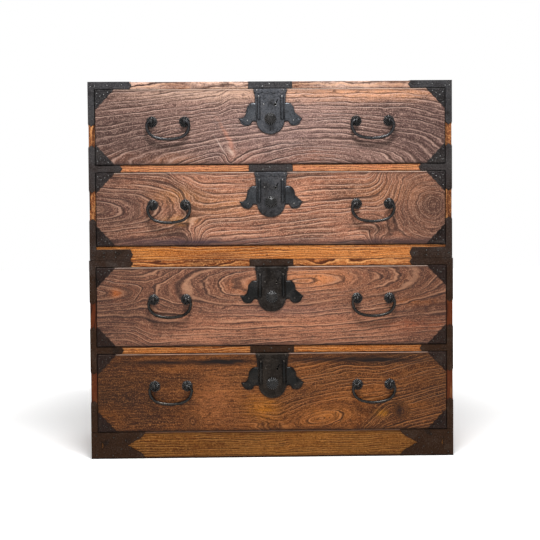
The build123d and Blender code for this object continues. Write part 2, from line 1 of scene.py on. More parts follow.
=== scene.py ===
from collections import namedtuple
from itertools import product
from math import atan2, cos, exp, pi, radians, sin, sqrt

import bmesh
import bpy
from mathutils import Matrix, Vector
from mathutils.geometry import delaunay_2d_cdt


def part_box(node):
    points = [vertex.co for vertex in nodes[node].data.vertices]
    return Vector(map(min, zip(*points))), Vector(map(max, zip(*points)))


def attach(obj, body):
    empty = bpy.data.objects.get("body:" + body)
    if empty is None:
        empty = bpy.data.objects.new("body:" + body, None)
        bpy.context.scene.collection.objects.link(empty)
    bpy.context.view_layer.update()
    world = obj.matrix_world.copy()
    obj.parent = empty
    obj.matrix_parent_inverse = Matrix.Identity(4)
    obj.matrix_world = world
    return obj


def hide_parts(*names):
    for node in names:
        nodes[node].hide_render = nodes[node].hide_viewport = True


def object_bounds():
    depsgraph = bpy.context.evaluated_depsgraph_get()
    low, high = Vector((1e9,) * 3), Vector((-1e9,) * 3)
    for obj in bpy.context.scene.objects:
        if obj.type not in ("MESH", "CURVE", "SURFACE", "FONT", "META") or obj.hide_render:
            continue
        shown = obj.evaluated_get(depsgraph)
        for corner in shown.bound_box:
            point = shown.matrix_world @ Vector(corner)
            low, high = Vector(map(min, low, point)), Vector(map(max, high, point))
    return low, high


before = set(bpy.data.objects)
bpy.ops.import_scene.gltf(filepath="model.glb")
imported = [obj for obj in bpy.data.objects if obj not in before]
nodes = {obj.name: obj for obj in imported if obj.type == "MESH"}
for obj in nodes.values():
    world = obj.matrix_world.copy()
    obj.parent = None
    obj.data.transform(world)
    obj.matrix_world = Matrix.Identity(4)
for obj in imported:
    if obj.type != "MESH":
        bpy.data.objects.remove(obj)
cad_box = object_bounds()
scene = bpy.context.scene

MM = 0.001
DRAWERS = ("drawer_1", "drawer_2", "drawer_3", "drawer_4")


# ---- Numbers and colours over a material


class Number:
    """A number that varies over a material: a node's output socket, with arithmetic."""

    def __init__(self, tree, socket):
        self.tree = tree
        self.socket = socket

    def math(self, operation, *others):
        node = self.tree.nodes.new("ShaderNodeMath")
        node.operation = operation
        for value, plug in zip((self, *others), node.inputs):
            plug_in(self.tree, value, plug)
        return Number(self.tree, node.outputs[0])

    def __add__(self, other):
        return self.math("ADD", other)

    def __sub__(self, other):
        return self.math("SUBTRACT", other)

    def __mul__(self, other):
        return self.math("MULTIPLY", other)

    def squared(self):
        return self.math("MULTIPLY", self)

    def fading(self):
        """1 at 0, and toward 0 as the number grows."""
        return (self * -1.0).math("EXPONENT")

    def smooth(self, low, high):
        """Rises from 0 at low to 1 at high, or falls if high is below low."""
        node = self.tree.nodes.new("ShaderNodeMapRange")
        node.interpolation_type = "SMOOTHSTEP"
        plug_in(self.tree, self, node.inputs["Value"])
        node.inputs["From Min"].default_value = low
        node.inputs["From Max"].default_value = high
        return Number(self.tree, node.outputs["Result"])


def plug_in(tree, value, plug):
    if isinstance(value, Number):
        tree.links.new(value.socket, plug)
    else:
        plug.default_value = value


def combine(tree, x, y, z):
    node = tree.nodes.new("ShaderNodeCombineXYZ")
    for value, plug in zip((x, y, z), node.inputs):
        plug_in(tree, value, plug)
    return Number(tree, node.outputs[0])


def noise(tree, vector, scale, detail=2.0):
    """Smooth noise from 0 to 1."""
    node = tree.nodes.new("ShaderNodeTexNoise")
    plug_in(tree, vector, node.inputs["Vector"])
    node.inputs["Scale"].default_value = scale
    node.inputs["Detail"].default_value = detail
    return Number(tree, node.outputs["Fac"])


def linear(colour):
    """A colour given as 0 to 255 screen values, as the linear colour that a shader takes."""
    parts = [part / 255 for part in colour]
    return (*[part / 12.92 if part < 0.04045 else ((part + 0.055) / 1.055) ** 2.4 for part in parts], 1.0)


def paint(tree, shader, colour, layers):
    """The base colour: a colour, and others laid over it in turn by shares of 0 to 1."""
    colour = linear(colour)
    for share, over in layers:
        node = tree.nodes.new("ShaderNodeMix")
        node.data_type = "RGBA"
        for value, plug in ((share, "Factor"), (colour, 6), (linear(over), 7)):
            plug_in(tree, value, node.inputs[plug])
        colour = Number(tree, node.outputs[2])
    plug_in(tree, colour, shader.inputs["Base Color"])


def new_material(name):
    """An empty node material, its shader, and the object's coordinates as x, y and z in mm."""
    material = bpy.data.materials.new(name)
    material.use_nodes = True
    tree = material.node_tree
    shader = tree.nodes["Principled BSDF"]
    coordinates = tree.nodes.new("ShaderNodeTexCoord")
    split = tree.nodes.new("ShaderNodeSeparateXYZ")
    tree.links.new(coordinates.outputs["Object"], split.inputs[0])
    x, y, z = (Number(tree, split.outputs[axis]) * (1 / MM) for axis in range(3))
    return material, tree, shader, (x, y, z)


CREVICE_SAMPLES = 8
OPEN_SHARE = 0.98           # of a point's surroundings that are free, from which the painted shade starts
CROWDED_SHARE = 0.66        # and at which it is full


# The mask for painted shade: crevices, gaps and the feet of raised parts.
def crevice(tree, distance):
    """1 where other surfaces crowd a point within distance mm, 0 in the open."""
    node = tree.nodes.new("ShaderNodeAmbientOcclusion")
    node.samples = CREVICE_SAMPLES
    node.inputs["Distance"].default_value = distance * MM
    return Number(tree, node.outputs["AO"]).smooth(OPEN_SHARE, CROWDED_SHARE)


def set_bump(tree, shader, height, depth):
    """Bump from a height of 0 to 1 that is depth mm deep."""
    bump = tree.nodes.new("ShaderNodeBump")
    bump.inputs["Strength"].default_value = 1.0
    bump.inputs["Distance"].default_value = depth * MM
    plug_in(tree, height, bump.inputs["Height"])
    tree.links.new(bump.outputs["Normal"], shader.inputs["Normal"])


# ---- Wood

# All in mm from the middle of the board, along the grain and across it, and turned by degrees.
# A cathedral is a stretch of grain whose lines are nested ellipses about a centre, taper being their
# height over their width, up to reach above and below the centre. With taper 0 they are straight.
Cathedral = namedtuple("Cathedral", "along across taper reach turn")
# A patch is a stain, a pale spot or painted shade, with its radii along and across.
Patch = namedtuple("Patch", "along across radius_along radius_across colour strength turn", defaults=(0,))
# A knot winds the grain round its centre.
Knot = namedtuple("Knot", "along across radius")

STRAIGHT = Cathedral(0, -1500, 0, 1, 0)
SEAM_HEIGHTS = (-60, 0, 60)     # where the cathedrals on a seam's two sides are brought level
KNOT_WIND = 1.6                 # how much closer a knot's rings lie than the board's


def turned(along, across, about):
    """Along and across from the middle of a cathedral or patch, turned with it."""
    run = along - about.along
    rise = across - about.across
    if not about.turn:
        return run, rise
    turn = radians(about.turn)
    return run * cos(turn) + rise * sin(turn), rise * cos(turn) - run * sin(turn)


def cathedral_value(cathedral, along, across):
    """The field below, as plain numbers."""
    run, rise = turned(along, across, cathedral)
    fade = exp(-((rise / cathedral.reach) ** 2)) if cathedral.taper else 0
    return sqrt(rise**2 + (cathedral.taper * run) ** 2 * fade)


def cathedral_field(cathedral, along, across):
    """How far a point is across the grain, in mm."""
    run, rise = turned(along, across, cathedral)
    if not cathedral.taper:
        return rise.math("ABSOLUTE")
    fade = (rise * (1 / cathedral.reach)).squared().fading()
    return (rise.squared() + (run * cathedral.taper).squared() * fade).math("SQRT")


def hill(along, across, patch):
    """1 in the middle of a patch, fading over its radii."""
    run, rise = turned(along, across, patch)
    far = (run * (1 / patch.radius_along)).squared() + (rise * (1 / patch.radius_across)).squared()
    return far.fading()


def knot_hill(along, across, knot):
    """1 in the middle of a knot, fading over its radius."""
    return hill(along, across, Patch(knot.along, knot.across, knot.radius, knot.radius, None, 1))


def grain(along, across, wander, cathedrals, seams, knots):
    """The whole board's grain, its cathedrals blended into each other at seams along it."""
    field = cathedral_field(cathedrals[0], along, across)
    shift = 0.0
    for before, after, (seam, width) in zip(cathedrals, cathedrals[1:], seams):
        left, right = (
            sum(cathedral_value(side, seam, height) for height in SEAM_HEIGHTS) / len(SEAM_HEIGHTS)
            for side in (before, after)
        )
        shift = left + shift - right
        share = (along + wander * width).smooth(seam - width / 2, seam + width / 2)
        step = cathedral_field(after, along, across) + shift - field
        field = field + step * share
    for knot in knots:
        ring = ((along - knot.along).squared() + (across - knot.across).squared()).math("SQRT")
        near = knot_hill(along, across, knot).smooth(0.25, 0.75)
        field = field + (ring * KNOT_WIND - field) * near
    return field


# A board's middle and half size in mm, its axes along, across and into the wood, its figure, its
# colours, the spacing of its rings and the depth of its relief in mm. Calm is a patch where the rings
# fade. Edge is the colour of a painted highlight along the top edge. Where half is 0 the board's
# edges aren't darkened and get no painted highlight.
Wood = namedtuple("Wood", (
    "middle half axes cathedrals seams knots calm patches stains dark plain light line ridge pore edge "
    "spacing line_strength ridge_strength relief gloss sheen seed"
))
WOOD = Wood(
    middle=(0, 0, 0), half=(0, 0, 0), axes="xzy",
    cathedrals=(STRAIGHT,), seams=(), knots=(), calm=None, patches=(), stains=(),
    dark=(96, 62, 50), plain=(142, 100, 84), light=(176, 130, 108), line=(46, 24, 16),
    ridge=(226, 178, 150), pore=(58, 32, 24), edge=(236, 204, 184),
    spacing=11.0, line_strength=0.8, ridge_strength=0.5, relief=0.5, gloss=0.42, sheen=0.25, seed=0.0,
)
SEED_STEP = 900.0           # mm along the grain, so that no two boards are cut from one place
SQUEEZE = 2.6               # how much faster the wood changes across the grain than along it
THROUGH = 0.35              # how far the rings slant into the board
WANDER = 24.0               # mm that the rings stray over a long way
RIPPLE = 5.0                # and over a short one
CURL = 22.0                 # mm that the pores stray from the rings
RIM_WIDTH = 9.0             # of the dark handled edge of a board, in mm
TOP_HIGHLIGHT_WIDTH = 2.2            # of the pale line along its top edge, a painted highlight where light catches the rounded edge
# Painted shade: wood darkens to the colour below where other surfaces crowd it within this many mm.
CREVICE_SHADE_REACH = 8.0
CREVICE_SHADE = (10, 6, 4)


def wood_material(name, wood):
    """Old ring-porous wood: dark ring lines with a raised ridge below each, pale partly in its own colour
    and partly as painted highlight, open pores, and patches of stain and of painted shade."""
    material, tree, shader, place = new_material(name)
    axis = dict(zip("xyz", place))
    middle = dict(zip("xyz", wood.middle))
    half = dict(zip("xyz", wood.half))
    along, across, inward = (axis[letter] - middle[letter] for letter in wood.axes)
    place = combine(tree, along, across, inward)
    drift = combine(tree, along + SEED_STEP * wood.seed, across * SQUEEZE, inward * SQUEEZE)
    wander = noise(tree, drift, 0.006) - 0.5
    ripple = noise(tree, drift, 0.03) - 0.5
    field = grain(along, across, wander, wood.cathedrals, wood.seams, wood.knots)
    field = field + inward * THROUGH + wander * WANDER + ripple * RIPPLE

    # Rings: unevenly spaced, and each strong in places and weak in others.
    uneven = noise(tree, combine(tree, field * 0.03, wood.seed, 0.0), 1.0)
    phase = field * (1 / wood.spacing) + uneven * 2.6
    ring = phase.math("PINGPONG", 0.5)
    ridge_ring = (phase + 0.24).math("PINGPONG", 0.5)
    fine_ring = (phase * 2.7 + uneven * 3.0).math("PINGPONG", 0.5)
    fade = combine(tree, along * 0.007, field * 0.06, wood.seed)
    strong = noise(tree, fade, 1.0, detail=1.0).smooth(0.3, 0.6)
    fine_strong = noise(tree, fade, 2.3, detail=1.0).smooth(0.35, 0.65)
    loud = hill(along, across, wood.calm) * -wood.calm.strength + 1.0 if wood.calm else 1.0
    for knot in wood.knots if wood.calm else ():
        loud = loud.math("MAXIMUM", knot_hill(along, across, knot))
    line = ring.smooth(0.19, 0.03) * (strong * 0.75 + 0.25) * loud
    # The ridges' pale colour is partly painted highlight, where light from above catches each ridge.
    ridge = ridge_ring.smooth(0.16, 0.02) * strong * loud
    fine_line = fine_ring.smooth(0.24, 0.04) * fine_strong * loud
    fine_ridge = fine_ring.smooth(0.3, 0.46) * fine_strong * loud

    # Pores are short dashes that follow the grain; specks are the fine mottle between them.
    curl = field + (noise(tree, place, 0.04) - 0.5) * CURL
    dashes = noise(tree, combine(tree, along * 0.05, curl * 0.34, inward * 0.3), 1.0, detail=3.0)
    pores = dashes.smooth(0.54, 0.66)
    glints = dashes.smooth(0.44, 0.34)
    fibres = noise(tree, combine(tree, along * 0.016, field * 0.24, inward * 0.2), 1.0, detail=4.0)
    specks = noise(tree, place, 0.3)

    broad = noise(tree, combine(tree, along * 0.004 + wood.seed, field * 0.016, 0.0), 1.0, detail=3.0)

    def spots(patches):
        """Layers for patches, whose outlines bend with the grain."""
        for patch in patches:
            bent_along = along + wander * (patch.radius_along * 0.9)
            bent_across = across + ripple * (patch.radius_across * 1.2)
            share = hill(bent_along, bent_across, patch) * (fibres * 0.8 + 0.6) * patch.strength
            yield share.math("MINIMUM", 1.0), patch.colour

    layers = [
        (broad.smooth(0.34, 0.54), wood.plain),
        (broad.smooth(0.5, 0.68), wood.light),
        *spots(wood.patches),
        (fibres.smooth(0.52, 0.72) * 0.5, wood.light),
        (fibres.smooth(0.48, 0.3) * 0.6, wood.dark),
        (specks.smooth(0.52, 0.68) * 0.5, wood.ridge),
        (specks.smooth(0.47, 0.32) * 0.62, wood.line),
        (fine_ridge * (wood.ridge_strength * 0.4), wood.ridge),
        (fine_line * (wood.line_strength * 0.55), wood.line),
        (pores * 0.6, wood.pore),
        (glints * 0.25, wood.ridge),
        # Pale ridges: partly the wood's own colour, partly painted highlight.
        (ridge * wood.ridge_strength, wood.ridge),
        # Stains, and painted shade at a front's two ends.
        *spots(wood.stains),
        (line * wood.line_strength, wood.line),
    ]
    reach = half[wood.axes[1]]
    if reach:
        rim = across.math("ABSOLUTE") + specks * 6.0
        # Painted highlight: a pale line along the top edge, where light from above catches the rounded edge.
        top_highlight = across.smooth(reach - TOP_HIGHLIGHT_WIDTH, reach - TOP_HIGHLIGHT_WIDTH + 1.0) * (fibres * 0.9 + 0.1)
        layers += [(rim.smooth(reach - RIM_WIDTH, reach + 4.0) * 0.7, wood.line), (top_highlight, wood.edge)]
    # Painted shade in crevices and round the irons.
    layers.append((crevice(tree, CREVICE_SHADE_REACH) * 0.96, CREVICE_SHADE))
    paint(tree, shader, wood.dark, layers)

    # Finish and relief.
    shader.inputs["Specular IOR Level"].default_value = wood.sheen
    rough = fibres * 0.16 + specks * 0.1 + (wood.gloss - 0.12)
    plug_in(tree, rough, shader.inputs["Roughness"])
    height = ridge * 0.5 - line * 0.8 - fine_line * 0.3 + fine_ridge * 0.15 - pores * 0.25
    height = height + specks * 0.15 + fibres * 0.2
    set_bump(tree, shader, height, wood.relief)
    return material


# ---- Iron

# Iron is blue over the first height and brown under the second, in mm, where the clouds of noise add
# up to CLOUD_SWAY to a point's own height. The darker brown below is partly the iron's own finish and
# partly painted shade, as less light reaches the lower irons.
BLUE_HEIGHT = 1330.0
BROWN_HEIGHT = 600.0
CLOUD_SWAY = 500.0


def iron_material(name, blue, brown, gloss=0.42, sheen=0.15, dent=0.8, reach=5.0, scuff=0.3, metal=0.8,
                  rim=1.0):
    """Forged and blackened iron: bluish above, browner and darker lower down, which is partly its own
    finish and partly painted shade, with a hammered surface dent mm deep, fine pits, paler rubbed spots
    as strong as scuff, and painted shade within reach mm of its neighbours. Rim is how much it shines at
    a glance along it."""
    material, tree, shader, (x, y, z) = new_material(name)
    place = combine(tree, x, y, z)
    cloud = noise(tree, place, 0.03, detail=4.0)
    hammer = noise(tree, place, 0.09)
    pits = noise(tree, place, 0.3, detail=3.0)
    # Share of the lower, darker brown: partly the iron's own finish, partly painted shade.
    low_brown_and_shade = (z + cloud * CLOUD_SWAY).smooth(BLUE_HEIGHT, BROWN_HEIGHT)
    paint(tree, shader, blue, (
        (low_brown_and_shade, brown),
        (cloud.smooth(0.5, 0.75) * 0.2, (84, 74, 66)),
        (cloud.smooth(0.45, 0.25) * 0.6, (20, 18, 17)),
        (pits.smooth(0.54, 0.68) * (low_brown_and_shade * -0.6 + 1.0) * scuff, (124, 120, 118)),
        (pits.smooth(0.48, 0.34) * 0.6, (10, 9, 9)),
        # Painted shade: near-black where other surfaces crowd the iron within reach mm.
        (crevice(tree, reach) * 0.95, (3, 3, 3)),
    ))
    shader.inputs["Metallic"].default_value = metal
    shader.inputs["Specular IOR Level"].default_value = sheen
    shader.inputs["Specular Tint"].default_value = (rim, rim, rim, 1)
    rough = pits * 0.3 + cloud * 0.12 + (gloss - 0.2)
    plug_in(tree, rough, shader.inputs["Roughness"])
    set_bump(tree, shader, hammer * 0.7 + pits * 0.3, dent)
    return material


# ---- The chest's woods


def sized(wood, node, edged=True):
    """The wood, laid out from the middle of a node, with the edges of the node's box if edged."""
    low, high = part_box(node)
    half = tuple((high - low) / 2 / MM) if edged else WOOD.half
    return wood._replace(middle=tuple((low + high) / 2 / MM), half=half)


# Painted shade: the dark patches and stains about 440 mm either side of the middle darken a front's two
# ends, where the sheen of the light falls off.
FRONTS = {
    "drawer_1": WOOD._replace(
        cathedrals=(Cathedral(-60, -170, 0.44, 140, 6), Cathedral(120, -130, 0.366, 200, 0)),
        seams=((-122, 46),),
        patches=(
            Patch(-440, -20, 200, 120, (62, 38, 33), 0.85),
            Patch(440, -30, 180, 110, (72, 48, 46), 0.85),
            Patch(-80, 92, 250, 21, (236, 194, 168), 0.85),
            Patch(250, 86, 250, 17, (230, 164, 122), 0.95),
            Patch(-250, -94, 90, 22, (160, 100, 60), 0.6),
            Patch(-410, -80, 60, 18, (140, 86, 58), 0.5),
            Patch(110, -78, 60, 20, (170, 106, 76), 0.6),
            Patch(-150, -72, 40, 24, (74, 52, 52), 0.9),
            Patch(-138, 6, 16, 9, (40, 24, 24), 0.9, -50),
            Patch(-88, -56, 34, 6, (52, 32, 30), 0.9, -78),
            Patch(-70, -84, 60, 34, (186, 128, 106), 0.5),
            Patch(20, -10, 170, 70, (132, 106, 102), 0.7),
        ),
        stains=(
            Patch(-440, -30, 180, 90, (50, 30, 25), 0.35),
            Patch(440, -30, 150, 90, (54, 34, 32), 0.3),
            Patch(-116, -34, 48, 5, (196, 134, 110), 0.6, -64),
            Patch(-134, -50, 27, 1.7, (226, 196, 180), 0.6, -58),
            Patch(-106, -66, 12, 4, (236, 204, 184), 0.6, -48),
        ),
        dark=(86, 60, 54), plain=(122, 90, 80), light=(152, 116, 104), ridge=(214, 176, 158),
        spacing=10.5, seed=1.0,
    ),
    "drawer_2": WOOD._replace(
        cathedrals=(
            Cathedral(-470, 0, 0.3, 200, 0),
            Cathedral(0, -1500, 0, 1, 4),
            Cathedral(432, 5, 0.9, 160, 0),
        ),
        seams=((-210, 120), (310, 110)),
        calm=Patch(440, 0, 90, 90, None, 0.6),
        patches=(
            Patch(-420, 0, 150, 130, (70, 38, 28), 0.8),
            Patch(440, 0, 150, 130, (72, 40, 30), 0.85),
            Patch(-245, -30, 40, 11, (204, 140, 72), 0.95),
            Patch(-255, 34, 60, 20, (180, 118, 58), 0.7),
            Patch(-110, 10, 90, 26, (196, 132, 86), 0.7),
            Patch(290, 40, 90, 30, (168, 108, 66), 0.6),
            Patch(-400, 14, 60, 40, (104, 68, 62), 0.6),
        ),
        stains=(
            Patch(-190, -88, 230, 11, (62, 44, 50), 1.0),
            Patch(330, -90, 240, 10, (62, 42, 44), 0.9),
            Patch(-440, 0, 150, 120, (54, 28, 18), 0.45),
            Patch(450, 0, 150, 120, (56, 30, 20), 0.45),
        ),
        dark=(108, 66, 48), plain=(160, 102, 76), light=(200, 136, 104), ridge=(234, 184, 154),
        spacing=12.5, seed=2.0,
    ),
    "drawer_3": WOOD._replace(
        cathedrals=(Cathedral(-500, 38, 0.2, 60, 0), Cathedral(76, 66, 0.2, 150, 3)),
        seams=((-350, 60),),
        patches=(
            Patch(-440, 0, 140, 130, (68, 36, 25), 0.8),
            Patch(440, 0, 140, 130, (76, 38, 22), 0.8),
            Patch(-414, 38, 13, 14, (196, 100, 28), 0.9),
            Patch(-60, 50, 70, 20, (182, 108, 62), 0.6),
            Patch(120, 74, 75, 24, (214, 134, 80), 0.9),
            Patch(60, -50, 260, 34, (186, 118, 84), 0.7),
            Patch(380, 8, 70, 9, (166, 92, 32), 0.8),
            Patch(400, -56, 90, 15, (166, 88, 52), 0.8),
            Patch(40, -14, 140, 16, (104, 72, 70), 0.6),
            Patch(300, 40, 120, 40, (134, 82, 54), 0.6),
        ),
        stains=(Patch(-450, 0, 140, 120, (50, 24, 14), 0.35), Patch(450, 0, 130, 120, (56, 26, 12), 0.4)),
        dark=(90, 53, 39), plain=(134, 84, 62), light=(172, 112, 82), line=(38, 18, 12),
        ridge=(206, 152, 118), seed=3.0,
    ),
    "drawer_4": WOOD._replace(
        cathedrals=(
            Cathedral(-300, -1200, 0, 1, 0),
            Cathedral(130, -72, 0.34, 66, 12),
            Cathedral(0, -1200, 0, 1, 14),
        ),
        seams=((0, 120), (255, 120)),
        calm=Patch(-290, 0, 300, 400, None, 0.8),
        patches=(
            Patch(-150, -10, 60, 70, (150, 90, 50), 0.75),
            Patch(-380, -22, 45, 34, (68, 44, 36), 0.8),
            Patch(-420, 60, 60, 30, (112, 62, 40), 0.6),
            Patch(-430, 0, 160, 130, (44, 21, 8), 0.85),
            Patch(440, 20, 130, 130, (62, 33, 19), 0.75),
            Patch(-90, 72, 90, 8, (150, 88, 40), 0.5),
            Patch(-300, -10, 80, 60, (64, 34, 20), 0.5),
            Patch(-20, -44, 46, 32, (172, 104, 24), 0.95),
            Patch(150, -62, 60, 17, (176, 106, 44), 0.85),
            Patch(290, -60, 14, 9, (214, 140, 28), 0.95),
            Patch(390, -40, 40, 13, (150, 86, 30), 0.7),
            Patch(-440, -56, 50, 16, (122, 66, 16), 0.7),
            Patch(80, 30, 160, 34, (142, 84, 42), 0.5),
        ),
        stains=(
            Patch(-135, 82, 80, 9, (14, 7, 5), 1.2),
            Patch(-280, 81, 130, 8, (26, 13, 9), 0.95),
            Patch(150, 86, 200, 9, (24, 11, 7), 0.85),
            Patch(290, 83, 120, 9, (22, 10, 7), 1.1),
            Patch(340, -54, 11, 20, (26, 12, 8), 0.95),
            Patch(-450, 0, 150, 120, (30, 14, 5), 0.45),
            Patch(450, 0, 110, 120, (36, 18, 10), 0.3),
        ),
        knots=(Knot(-214, -78, 24), Knot(345, -54, 20)),
        dark=(58, 28, 9), plain=(97, 50, 16), light=(140, 80, 33), line=(22, 9, 4),
        ridge=(190, 124, 70), pore=(34, 16, 8), edge=(224, 184, 162), spacing=9.0, line_strength=0.75,
        ridge_strength=0.65, sheen=0.15, seed=4.0,
    ),
}

RAIL = WOOD._replace(
    dark=(126, 60, 16), plain=(176, 96, 30), light=(208, 128, 58), line=(66, 26, 8), pore=(86, 38, 12),
    ridge=(232, 166, 104), spacing=6.0, line_strength=0.95, ridge_strength=0.7, relief=0.3, gloss=0.42,
    sheen=0.14,
)
CASE = RAIL._replace(
    dark=(80, 38, 18), plain=(116, 62, 32), light=(148, 88, 52), line=(50, 22, 10), seed=6.0,
)
INNER = WOOD._replace(
    dark=(160, 128, 92), plain=(190, 160, 120), light=(210, 184, 146), line=(120, 86, 54),
    ridge=(222, 202, 170), pore=(136, 102, 70), spacing=9.0, line_strength=0.4, ridge_strength=0.25,
    relief=0.3, gloss=0.66,
)


WELD_GAP = 0.01
SHARP_ANGLE = 30.0


def rounded_edges(node, width, segments):
    """Welds the CAD node's facets and rounds its sharp edges, as a modifier."""
    weld = nodes[node].modifiers.new("weld", "WELD")
    weld.merge_threshold = WELD_GAP * MM
    bevel = nodes[node].modifiers.new("edges", "BEVEL")
    bevel.width = width * MM
    bevel.segments = segments
    bevel.limit_method = "ANGLE"
    bevel.angle_limit = radians(SHARP_ANGLE)
    bevel.use_clamp_overlap = False


def dress(node, material, edge, segments=2):
    """Gives a CAD node its material, and rounds its edges by edge mm of wear."""
    nodes[node].data.materials.clear()
    nodes[node].data.materials.append(material)
    if edge:
        rounded_edges(node, edge, segments)


def dress_drawer_wood(drawer, seed):
    """The drawer's figured front, and its plain sides, back and bottom."""
    front = f"{drawer}_front"
    dress(front, wood_material(f"{drawer}_keyaki", sized(FRONTS[drawer], front)), 0.9)
    for piece, axes in (("sides", "yzx"), ("back", "xzy"), ("bottom", "xyz")):
        node = f"{drawer}_{piece}"
        wood = sized(INNER._replace(axes=axes, seed=seed + len(piece)), node)
        dress(node, wood_material(f"{node}_wood", wood), 0.6)


# How far the edges of the case's boards are rounded, in mm.
CASE_EDGE = 0.5
CASE_EDGES = {"plinth": 0, "back_boards": 1.4, "lower_case_top": 1.5, "front_rails": 0.9}


def dress_case_wood():
    """Every board of the cases and the plinth. Only the plinth's edges are darkened and get the painted
    highlight along the top.
    """
    woods = {
        "upper_case_top": RAIL._replace(
            dark=(92, 50, 28), plain=(132, 80, 48), light=(164, 106, 70), line=(44, 20, 12),
            ridge=(206, 160, 128), line_strength=0.95, spacing=9.0, axes="xyz", patches=(
                Patch(0, -215, 3000, 12, (226, 190, 172), 1.1),
                Patch(60, -215, 70, 12, (110, 72, 58), 0.9),
                Patch(-250, -215, 60, 12, (120, 80, 64), 0.8),
                Patch(330, -215, 50, 12, (128, 84, 66), 0.7),
            )),
        "lower_case_top": RAIL._replace(
            dark=(112, 56, 22), plain=(160, 88, 40), light=(186, 112, 60), axes="xyz", seed=2.0),
        "upper_case_sides": CASE._replace(
            axes="zyx", patches=(Patch(250, 0, 260, 600, (158, 100, 62), 0.6),)),
        "lower_case_sides": CASE._replace(
            axes="zyx", dark=(66, 31, 14), plain=(98, 51, 24), light=(128, 74, 40), line=(34, 14, 6),
            stains=(Patch(0, -224, 900, 24, (88, 40, 17), 1.2),), sheen=0.1, seed=3.0),
        "front_rails": RAIL._replace(patches=(
            Patch(0, 241, 900, 40, (212, 138, 104), 0.8),
            Patch(-380, 17, 160, 50, (196, 120, 48), 0.5),
            Patch(240, 17, 200, 50, (224, 140, 74), 0.8),
            Patch(0, -241, 900, 40, (164, 88, 26), 0.7),
        )),
        "plinth": RAIL._replace(
            dark=(82, 44, 12), plain=(116, 68, 22), light=(148, 94, 38), line=(44, 22, 6),
            ridge=(176, 122, 62), edge=(176, 136, 116),
            patches=(Patch(150, 0, 260, 60, (142, 88, 34), 0.6),), sheen=0.1, seed=4.0),
        "upper_case_bottom": INNER._replace(axes="xyz", seed=5.0),
        "lower_case_bottom": INNER._replace(axes="xyz", seed=6.0),
        "drawer_runners": INNER._replace(axes="yxz", seed=7.0),
        "back_boards": INNER._replace(
            dark=(104, 78, 54), plain=(138, 106, 76), light=(158, 126, 94), line=(78, 54, 34), seed=8.0),
    }
    for node, wood in woods.items():
        wood = sized(wood, node, edged=node == "plinth")
        dress(node, wood_material(f"{node}_wood", wood), CASE_EDGES.get(node, CASE_EDGE))


dress_case_wood()
for number, drawer in enumerate(DRAWERS):
    dress_drawer_wood(drawer, 10.0 * number)


# ---- The chest's irons

sheet_iron = iron_material("sheet_iron", blue=(58, 58, 60), brown=(48, 31, 20))
corner_iron = iron_material("corner_iron", blue=(46, 45, 46), brown=(40, 28, 24))
plate_iron = iron_material("plate_iron", blue=(74, 76, 81), brown=(33, 28, 24), gloss=0.36, scuff=0.22)
worked_iron = iron_material(
    "worked_iron", blue=(68, 71, 76), brown=(11, 10, 8), gloss=0.22, sheen=0.2, dent=0.15, scuff=0.08,
    metal=0.35)
bar_iron = iron_material(
    "bar_iron", blue=(54, 54, 56), brown=(48, 46, 44), gloss=0.27, dent=0.05, scuff=0.1, metal=1.0, rim=0.15)
petal_iron = iron_material(
    "petal_iron", blue=(20, 20, 21), brown=(19, 18, 17), gloss=0.25, sheen=0.5, dent=0.0, reach=1.2,
    scuff=0.1, metal=0.0)
# Painted shade: a near-black for the keyhole and slit, where there is only shade, and for the flutes'
# grooves, partly soot and partly shade.
shade_and_soot = iron_material(
    "shade_and_soot", blue=(9, 9, 10), brown=(9, 8, 7), gloss=0.8, sheen=0.05, dent=0.1, scuff=0.0, metal=0.0)
# Painted highlight: nail heads and the keyhole's rim are a pale grey so that they show as bright specks on
# the dark iron.
nail_iron = iron_material(
    "nail_iron", blue=(126, 126, 126), brown=(62, 56, 50), gloss=0.3, sheen=0.5, dent=0.0, reach=1.5)

SHEET_EDGE = 0.55
PLATE_EDGE = 0.6
LOCK_CASE_EDGE = 0.3

dress("case_irons", sheet_iron, SHEET_EDGE)
dress("strike_plates", sheet_iron, SHEET_EDGE)
for drawer in DRAWERS:
    dress(f"{drawer}_corner_irons", corner_iron, SHEET_EDGE)
    dress(f"{drawer}_lock_plate", plate_iron, PLATE_EDGE)
    dress(f"{drawer}_lock_case", sheet_iron, LOCK_CASE_EDGE, segments=1)
    dress(f"{drawer}_lock_bolt", bar_iron, PLATE_EDGE)


# ---- Modelled pieces


def placed(name, data):
    """A new object in the scene."""
    piece = bpy.data.objects.new(name, data)
    scene.collection.objects.link(piece)
    return piece


def finish_piece(name, mesh, materials, body, smooth=True):
    """Turns a bmesh into an iron piece that rides on a body."""
    bmesh.ops.recalc_face_normals(mesh, faces=mesh.faces)
    data = bpy.data.meshes.new(name)
    mesh.to_mesh(data)
    mesh.free()
    for face in data.polygons:
        face.use_smooth = smooth
    for material in materials:
        data.materials.append(material)
    piece = placed(name, data)
    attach(piece, body)
    return piece


def around(sides, start=0.0):
    """Angles evenly round a circle."""
    return [start + 2 * pi * step / sides for step in range(sides)]


def corners(mesh, points):
    """New corners at points in mm."""
    return [mesh.verts.new([part * MM for part in point]) for point in points]


def skin(mesh, rings, closed=True):
    """Faces from ring to ring of corners, and over both ends if closed. Returns the rows between."""
    rows = []
    for low, high in zip(rings, rings[1:]):
        afters = [*range(1, len(low)), 0]
        rows.append([
            mesh.faces.new((low[step], low[after], high[after], high[step]))
            for step, after in enumerate(afters)
        ])
    if closed:
        mesh.faces.new(rings[0])
        mesh.faces.new(rings[-1])
    return rows


